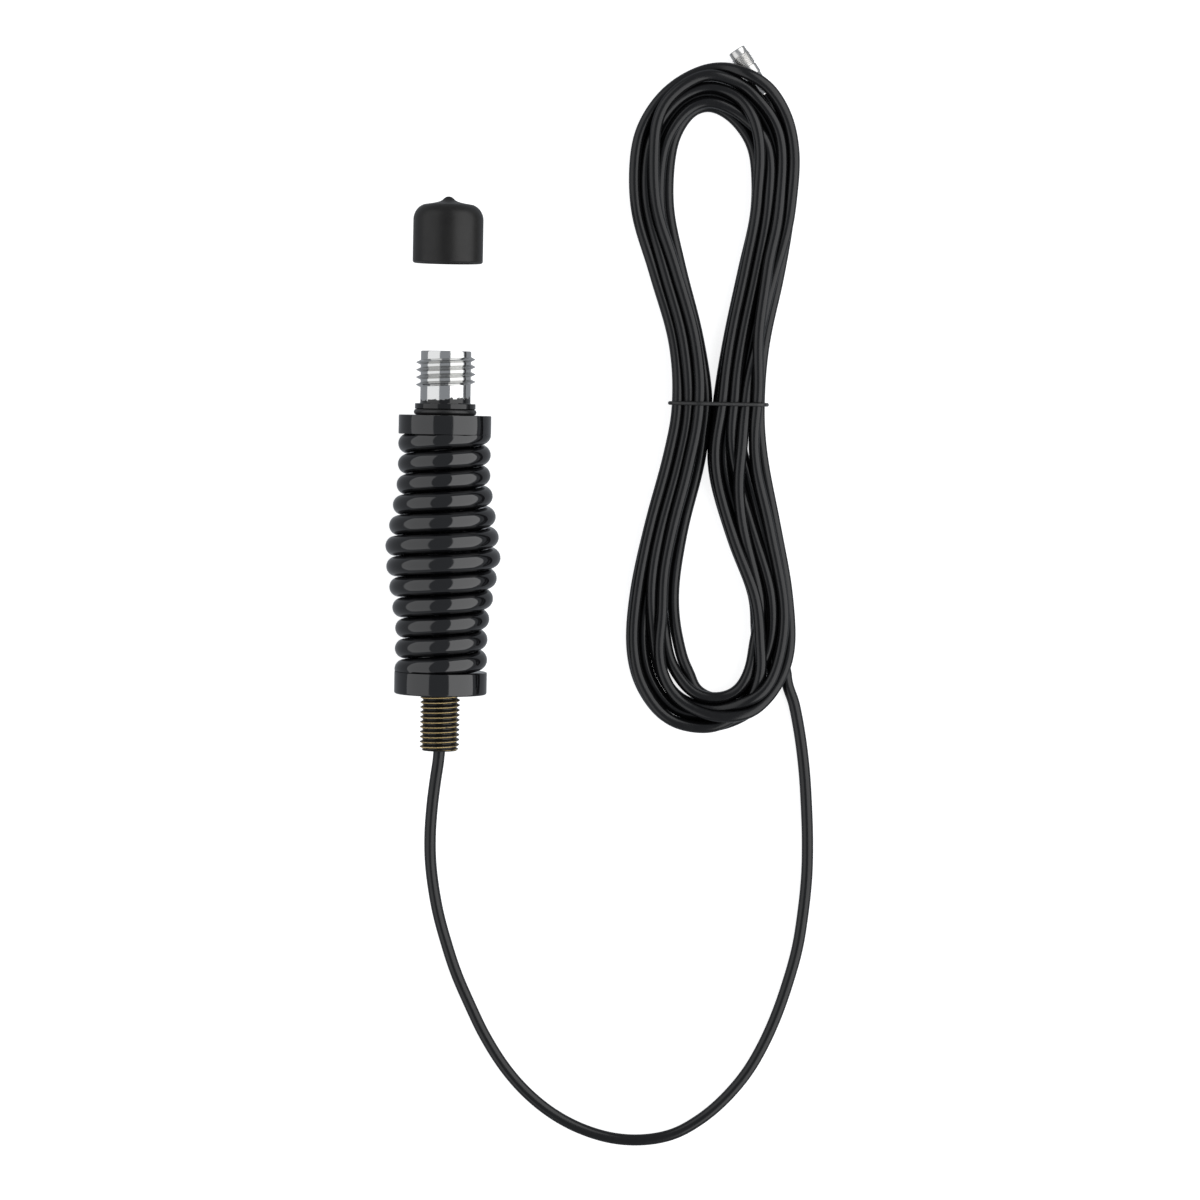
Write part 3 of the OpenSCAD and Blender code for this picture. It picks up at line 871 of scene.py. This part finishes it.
def lead_line():
    """The lead's way before it settles, as rows of eight numbers.

    They are x, y, z, 1 where the settling may move it or 0, the way out of the hank in x and y,
    the depth below the hank's outer lane, and the distance between the outer and inner lanes.
    """
    start = [(x, y, fall * LEAD_Z, 0, 1, 0, 0, 0) for x, y, fall in LEAD_ROUTE]
    end = [
        (x, y, LEAD_Z + rise, 1, 1, 0, 0, 2)
        for x, y, rise in ((138, 215.5, 0), (134.6, 228.5, 0.3), (130.9, 238, 1))
    ]
    for back in (CONNECTOR_REACH + 3, CONNECTOR_REACH, CONNECTOR_REACH - 6):
        end.append((*(CONNECTOR_TIP - back * CONNECTOR_AXIS), 0, 1, 0, 0, 0))
    return np.vstack([start, hank_line(), end])


def evenly(points, step):
    """A smooth line through the points, with points the same distance apart."""
    fine = []
    last = len(points) - 1
    for i in range(last):
        four = [points[min(max(k, 0), last)] for k in (i - 1, i, i + 1, i + 2)]
        fine += [curve_through(*four, t) for t in np.linspace(0, 1, 8, endpoint=False)]
    fine = np.array([*fine, points[-1]])
    run = np.r_[0, np.cumsum(np.linalg.norm(np.diff(fine[:, :3], axis=0), axis=1))]
    even = np.linspace(0, run[-1], round(run[-1] / step) + 1)
    return np.array([np.interp(even, run, column) for column in fine.T]).T


def near_pairs(line, reach, skip):
    """Pairs of points within reach of each other, leaving out near neighbours on the line."""
    cells = {}
    for i, key in enumerate(map(tuple, np.floor(line / reach).astype(int))):
        cells.setdefault(key, []).append(i)
    steps = [(a, b, c) for a in (-1, 0, 1) for b in (-1, 0, 1) for c in (-1, 0, 1)]
    firsts, seconds = [], []
    for (a, b, c), own in cells.items():
        around = [i for x, y, z in steps for i in cells.get((a + x, b + y, c + z), [])]
        first = np.repeat(own, len(around))
        second = np.tile(around, len(own))
        ahead = second - first > skip
        firsts.append(first[ahead])
        seconds.append(second[ahead])
    first, second = np.concatenate(firsts), np.concatenate(seconds)
    close = np.linalg.norm(line[first] - line[second], axis=1) < reach
    return first[close], second[close]


def push_apart(line, first, second, free):
    """Moves points of different turns apart where they are under one diameter from each other."""
    apart = line[second] - line[first]
    gap = np.linalg.norm(apart, axis=1)
    hit = gap < 2 * LEAD_R
    first, second, apart, gap = first[hit], second[hit], apart[hit], gap[hit]
    push = (2 * LEAD_R - gap)[:, None] * apart / np.maximum(gap, 1e-6)[:, None] * PUSH
    share = np.maximum(free[first] + free[second], 1e-6)
    moved, count = np.zeros_like(line), np.zeros(len(line))
    np.add.at(moved, first, -push * (free[first] / share)[:, None])
    np.add.at(moved, second, push * (free[second] / share)[:, None])
    np.add.at(count, first, 1)
    np.add.at(count, second, 1)
    line += moved / np.maximum(1, np.sqrt(count))[:, None]


def lift_off_connector(line):
    """Moves turns that cross the connector up and over it."""
    away = line - CONNECTOR_TIP
    along = away @ CONNECTOR_AXIS
    square = away - along[:, None] * CONNECTOR_AXIS
    gap = np.linalg.norm(square, axis=1)
    reach = LEAD_R + np.where(along > -CONNECTOR_SHELL, CONNECTOR_R, CRIMP_R)
    hit = (along < 1) & (along > -CONNECTOR_REACH) & (gap < reach)
    hit[-END_POINTS:] = False
    way = square / np.maximum(gap, 1e-6)[:, None]
    way[:, 2] = np.maximum(way[:, 2], 0.3)
    way /= np.linalg.norm(way, axis=1)[:, None]
    line[hit] += ((reach - gap)[:, None] * way)[hit] * LIFT


def hold_together(line, planned, out, depth, spread):
    """Keeps every turn between the hank's outer and inner lanes, as the tie does."""
    shift = line[:, :2] - planned[:, :2]
    outwards = np.sum(shift * out, axis=1)
    held = np.clip(outwards, depth - spread, depth)
    line[:, :2] += (held - outwards)[:, None] * out


def settle(rows):
    """Lets the turns sink onto the floor and onto each other, under the lead's own stiffness."""
    planned, free = rows[:, :3], (rows[:, 3] > 0.5).astype(float)
    line = planned.copy()
    out, depth, spread = rows[:, 4:6], rows[:, 6], rows[:, 7]
    out = out / np.linalg.norm(out, axis=1)[:, None]
    loose = free[:, None] > 0
    under_tie = 2 * TIE_R * np.exp(-(((line[:, 1] - TIE_Y) / 9) ** 2)) * free
    lowest = LEAD_Z + under_tie
    for step in range(SETTLE_ROUNDS):
        late = step / SETTLE_ROUNDS
        line[:, 2] -= (FAST_SINK if late < SINK_UNTIL else SLOW_SINK) * free
        shift = line - planned
        shift[:, 2] = line[:, 2]
        for _ in range(4 if late < STIFF_UNTIL else 2):
            mean = shift.copy()
            mean[1:-1] = (shift[:-2] + 2 * shift[1:-1] + shift[2:]) / 4
            shift = np.where(loose, mean, shift)
        shift[:, :2] *= PULL_BACK
        moved = shift + planned
        moved[:, 2] = shift[:, 2]
        line = np.where(loose, moved, line)
        if step % 12 == 0:
            first, second = near_pairs(line, NEAR, NEIGHBOURS)
        for _ in range(4 if late < SINK_UNTIL else 7):
            push_apart(line, first, second, free)
            lift_off_connector(line)
            hold_together(line, planned, out, depth, spread)
            line[:, 2] = np.where((free > 0) & (line[:, 2] < lowest), lowest, line[:, 2])
    for _ in range(SMOOTHINGS):
        mean = (line[:-2] + 2 * line[1:-1] + line[2:]) / 4
        line[1:-1] = np.where(loose[1:-1], mean, line[1:-1])
    return line


def build_lead():
    """The whole lead as one curve from the stud to the connector, its settled line and its length."""
    line = settle(evenly(lead_line(), LEAD_STEP))
    smooth = evenly(line, DRAWN_STEP)
    data = bpy.data.curves.new("coax", "CURVE")
    data.dimensions = "3D"
    data.bevel_depth = LEAD_R * MM
    data.bevel_resolution = 3
    data.use_fill_caps = True
    spline = data.splines.new("POLY")
    spline.points.add(len(smooth) - 1)
    spline.points.foreach_set("co", np.c_[smooth * MM, np.ones(len(smooth))].ravel())
    spline.use_smooth = True
    data.materials.append(MATERIALS["jacket"])
    lead = bpy.data.objects.new("coax", data)
    bpy.context.scene.collection.objects.link(lead)
    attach(lead, "base")
    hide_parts("coax_lead", "coax_hank")
    length = np.linalg.norm(np.diff(smooth, axis=0), axis=1).sum() * MM
    return lead, line, length


def build_tie(line):
    """A round cord pulled tight round the strands at the waist."""
    over = line[:, 1] > TIE_Y
    crossing = np.flatnonzero(over[1:] != over[:-1])
    outline = hull_round(line[crossing][:, [0, 2]], LEAD_R + TIE_R)
    outline[:, 1] = np.maximum(outline[:, 1], FLOOR_Z + TIE_R)
    rings, sides = len(outline), 14
    ahead = np.roll(outline, -1, 0) - np.roll(outline, 1, 0)
    ahead /= np.linalg.norm(ahead, axis=1)[:, None]
    points = []
    for (x, z), (dx, dz) in zip(outline, ahead):
        for j in range(sides):
            a = 2 * math.pi * j / sides
            out = TIE_R * math.cos(a)
            points.append((x + dz * out, TIE_Y + TIE_R * math.sin(a), z - dx * out))
    faces = ring_faces(rings, sides, closed=True)
    return add_mesh("tie_cord", points, faces, "ring_rubber", "base", "hank_tie")


def hull_round(centres, reach):
    """The outline of circles held by a tight band, anticlockwise, in even steps."""
    turns = np.linspace(0, 2 * math.pi, 48, endpoint=False)
    cloud = [c + reach * np.array([math.cos(t), math.sin(t)]) for c in centres for t in turns]
    cloud = sorted(map(tuple, cloud))

    def half(points):
        """One side of the hull of sorted points."""
        chain = []
        for p in points:
            while len(chain) > 1 and turn_of(chain[-2], chain[-1], p) <= 0:
                chain.pop()
            chain.append(p)
        return chain[:-1]

    hull = np.array(half(cloud) + half(cloud[::-1]))
    closed = np.vstack([hull, hull[:1]])
    run = np.r_[0, np.cumsum(np.linalg.norm(np.diff(closed, axis=0), axis=1))]
    even = np.linspace(0, run[-1], 121)[:-1]
    return np.c_[np.interp(even, run, closed[:, 0]), np.interp(even, run, closed[:, 1])]


def turn_of(a, b, c):
    """Above 0 where the way from a over b to c turns left."""
    return (b[0] - a[0]) * (c[1] - a[1]) - (b[1] - a[1]) * (c[0] - a[0])


# ================= Carried-over CAD pieces and stage =================

INNER_NODES = {
    "insulator": "nylon",
    "centre_contact": "contact_brass",
    "braid_crimp": "nickel_plate",
    "coax_braid": "braid",
    "coax_dielectric": "polyethylene",
    "coax_conductor": "copper",
    "connector_insulator": "nylon",
    "connector_contact": "contact_brass",
}


def dress_inner_nodes():
    """Gives the CAD pieces that stay their materials."""
    for node, material in INNER_NODES.items():
        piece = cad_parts[node]
        piece.data.materials.clear()
        piece.data.materials.append(MATERIALS[material])
        shade(piece.data)


def build_stage():
    """A wide pale floor and a pale surround."""
    floor_material = Material("floor", (0.45, 0.45, 0.45))
    floor_material.rough(0.6, 0.75, 3)
    floor_material.shader.inputs["Emission Color"].default_value = (1, 1, 1, 1)
    floor_material.shader.inputs["Emission Strength"].default_value = 0.82
    mesh = bpy.data.meshes.new("floor")
    reach = FLOOR_REACH
    corners = [
        (x, y, FLOOR_Z * MM)
        for x, y in ((-reach, -reach), (reach, -reach), (reach, reach), (-reach, reach))
    ]
    mesh.from_pydata(corners, [], [(0, 1, 2, 3)])
    mesh.materials.append(floor_material.data)
    floor = bpy.data.objects.new("floor", mesh)
    bpy.context.scene.collection.objects.link(floor)
    floor.visible_glossy = False
    world = bpy.data.worlds.new("surround")
    world.use_nodes = True
    background = world.node_tree.nodes["Background"]
    background.inputs["Color"].default_value = (0.80, 0.84, 0.90, 1)
    background.inputs["Strength"].default_value = 0.4
    bpy.context.scene.world = world


def add_light(name, near, far, radiance):
    """A soft box as a slanting panel, from (x, z) near the camera's gap to (x, z) at the floor."""
    length = BOX_LENGTH
    near, far = Vector((near[0], 0, near[1])), Vector((far[0], 0, far[1]))
    width = (far - near).length
    data = bpy.data.lights.new(name, "AREA")
    data.shape = "RECTANGLE"
    data.size = width
    data.size_y = length
    data.energy = radiance * math.pi * width * length
    light = bpy.data.objects.new(name, data)
    bpy.context.scene.collection.objects.link(light)
    middle = (near + far) / 2 + Vector((0, 0.05, 0))
    across = (far - near).normalized()
    facing = Vector((0, 1, 0)).cross(across)
    if facing.dot(middle) < 0:
        facing = -facing
    along = facing.cross(across)
    light.matrix_world = Matrix.Translation(middle) @ (
        Matrix((across, along, facing)).transposed().to_4x4()
    )


def build_lights():
    """A soft box on each side, and colours shown as they are."""
    for name, (near, far, radiance) in SOFT_BOXES.items():
        add_light(name, near, far, radiance)
    view = bpy.context.scene.view_settings
    view.view_transform = "Standard"
    view.look = "None"


# ================= Build =================

MATERIALS = make_materials()
add_camera()
lead, lead_path, lead_length = build_lead()
tie = build_tie(lead_path)
connector = build_connector()
build_bottom_collar()
build_stud()
build_seal()
build_spring()
build_top_collar()
build_o_ring()
build_ferrule()
build_cap()
build_inner_coax()
dress_inner_nodes()
build_stage()
build_lights()
print("lead length, m:", round(float(lead_length), 3))
